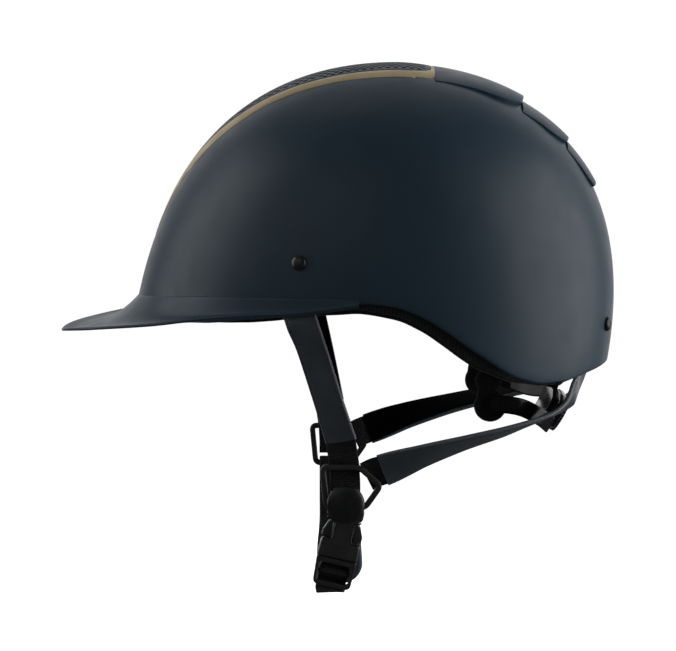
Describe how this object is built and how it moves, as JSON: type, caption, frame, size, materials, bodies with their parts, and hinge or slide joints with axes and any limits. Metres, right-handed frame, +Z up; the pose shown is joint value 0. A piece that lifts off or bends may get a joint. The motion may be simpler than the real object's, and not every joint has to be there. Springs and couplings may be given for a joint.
{
  "type": "equestrian riding helmet",
  "caption": "Riding helmet with a small peak, a vented crown panel, rear scoops, a strap harness with a side-release buckle and a dial-tightened rear cradle.",
  "frame": {"origin": "the point where the flat middle of the crown pad meets the top of the wearer's head", "axes": "+X towards the back of the helmet, +Y towards the wearer's right, +Z up"},
  "size_m": [0.3195, 0.2088, 0.3007],
  "materials": {
    "shell_navy": "soft matte",
    "grille_navy": "satin",
    "trim_gold": "satin metallic",
    "foam_black": "expanded foam",
    "liner_fabric": "perforated knit",
    "strap_leather": "satin",
    "webbing_black": "woven",
    "fitting_black": "satin",
    "cradle_black": "polished",
    "washer_steel": "satin"
  },
  "bodies": {
    "helmet": {"outer_shell": "shell_navy", "peak": "shell_navy", "vent_grille": "grille_navy", "grille_trim": "trim_gold", "scoop_upper": "shell_navy", "scoop_middle": "shell_navy", "scoop_lower": "shell_navy", "impact_liner": "foam_black", "comfort_liner": "liner_fabric", "liner_piping": "liner_fabric", "crown_pad": "liner_fabric", "hook_patch_front": "webbing_black", "hook_patch_left": "webbing_black", "hook_patch_rear": "webbing_black", "hook_patch_right": "webbing_black", "strap_rivet_front_left": "fitting_black", "strap_rivet_front_right": "fitting_black", "strap_rivet_rear_left": "fitting_black", "strap_rivet_rear_right": "fitting_black", "rivet_washer_front_left": "washer_steel", "rivet_washer_front_right": "washer_steel", "rivet_washer_rear_left": "washer_steel", "rivet_washer_rear_right": "washer_steel", "strap_sleeve_front_left": "strap_leather", "strap_sleeve_front_right": "strap_leather", "strap_sleeve_rear_left": "strap_leather", "strap_sleeve_rear_right": "strap_leather", "strap_webbing_front_left": "webbing_black", "strap_webbing_front_right": "webbing_black", "strap_webbing_rear_left": "webbing_black", "strap_webbing_rear_right": "webbing_black", "strap_ring_left": "fitting_black", "strap_ring_right": "fitting_black", "ring_cap": "fitting_black", "buckle_socket": "fitting_black", "cradle_band_left": "cradle_black", "cradle_band_right": "cradle_black", "nape_pad_left": "liner_fabric", "nape_pad_right": "liner_fabric", "cradle_yoke": "cradle_black", "yoke_anchor": "fitting_black"},
    "chin_strap": {"buckle_plug": "fitting_black", "chin_webbing": "webbing_black", "buckle_guard": "strap_leather"},
    "prong_front": {"buckle_prong_front": "fitting_black"},
    "prong_rear": {"buckle_prong_rear": "fitting_black"},
    "cradle": {"dial_housing_cover": "cradle_black", "dial_housing_base": "cradle_black"},
    "dial": {"dial_knob": "fitting_black", "dial_spindle": "fitting_black"},
    "rack_left_slide": {"rack_left": "fitting_black"},
    "rack_right_slide": {"rack_right": "fitting_black"}
  },
  "joints": [
    {"name": "chin_swing", "type": "hinge", "parent": "helmet", "child": "chin_strap", "pos_m": [-0.0361, 0.0685, -0.2106], "axis": [1, 0, 0], "range_deg": [0, 70], "deforming": ["buckle_prong_front", "buckle_prong_rear"]},
    {"name": "prong_front_pinch", "type": "hinge", "parent": "chin_strap", "child": "prong_front", "pos_m": [-0.04053, -0.0685, -0.24041], "axis": [0, 1, 0], "range_deg": [0, 6], "stiffness_Nm_per_rad": 0.05},
    {"name": "prong_rear_pinch", "type": "hinge", "parent": "chin_strap", "child": "prong_rear", "pos_m": [-0.02687, -0.0685, -0.24349], "axis": [0, -1, 0], "range_deg": [0, 6], "stiffness_Nm_per_rad": 0.05},
    {"name": "cradle_tighten", "type": "slide", "parent": "helmet", "child": "cradle", "axis": [-1, 0, 0], "range_m": [0, 0.01], "deforming": ["cradle_band_left", "cradle_band_right", "cradle_yoke"]},
    {"name": "dial_spin", "type": "hinge", "parent": "cradle", "child": "dial", "pos_m": [0.0977, 0, -0.17015], "axis": [0.8752, 0, -0.4838], "range_deg": [0, 120]},
    {"name": "rack_left_pull", "type": "slide", "parent": "cradle", "child": "rack_left_slide", "axis": [0, 1, 0], "range_m": [0, 0.0076]},
    {"name": "rack_right_pull", "type": "slide", "parent": "cradle", "child": "rack_right_slide", "axis": [0, -1, 0], "range_m": [0, 0.0076]}
  ],
  "couplings": [
    {"joint": "prong_rear_pinch", "follows": "prong_front_pinch", "ratio": 1},
    {"joint": "cradle_tighten", "follows": "dial_spin", "m_per_rad": 0.00477},
    {"joint": "rack_left_pull", "follows": "dial_spin", "m_per_rad": 0.0036},
    {"joint": "rack_right_pull", "follows": "dial_spin", "m_per_rad": 0.0036}
  ]
}
